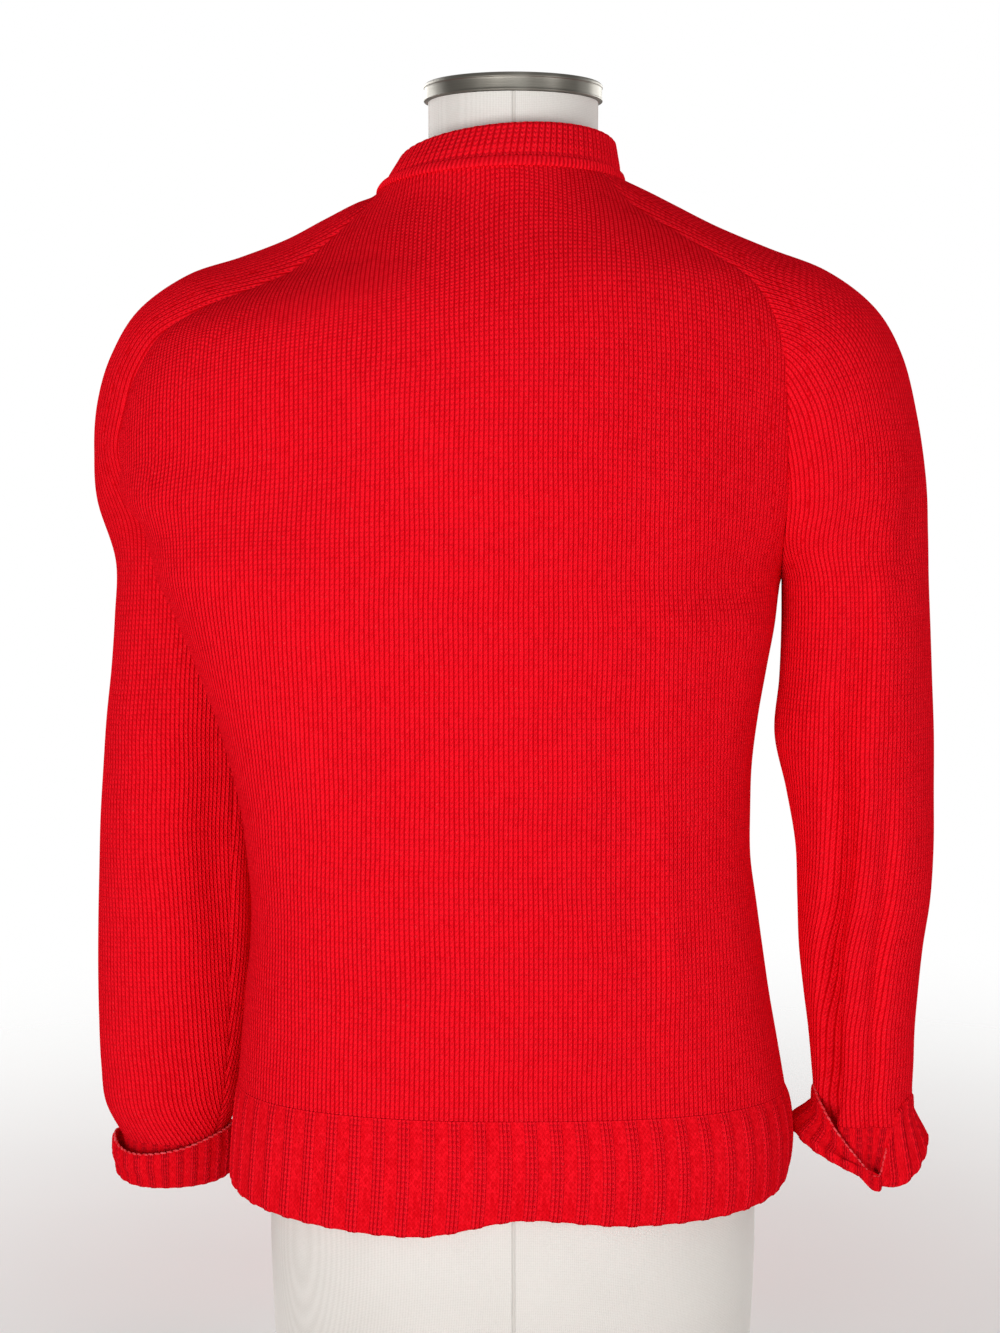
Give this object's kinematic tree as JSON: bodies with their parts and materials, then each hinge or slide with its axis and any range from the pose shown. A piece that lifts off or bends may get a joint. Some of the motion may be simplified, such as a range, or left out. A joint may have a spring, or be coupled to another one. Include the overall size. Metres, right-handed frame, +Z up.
{
  "type": "crewneck sweater on a limbless dress form",
  "caption": "Red plain-knit crewneck sweater with saddle shoulders and turned-back ribbed cuffs, worn by a limbless dress form that stands on its flat base.",
  "frame": {"origin": "centre of the dress form's flat base", "axes": "+Z up along the form, +X towards the wearer's left, -Y towards the wearer's front"},
  "size_m": [0.5704, 0.2443, 0.8783],
  "materials": {
    "red_knit": "matte plain knit wool",
    "red_rib": "matte rib knit wool",
    "form_cover": "off-white stretched jersey cover",
    "cap_metal": "polished turned metal"
  },
  "bodies": {
    "root": {"back_panel": "red_knit", "front_panel": "red_knit", "left_sleeve": "red_knit", "right_sleeve": "red_knit", "back_hem_rib": "red_rib", "front_hem_rib": "red_rib", "left_cuff": "red_rib", "right_cuff": "red_rib", "neckband": "red_rib", "form_torso": "form_cover", "form_neck_cap": "cap_metal"}
  },
  "joints": []
}
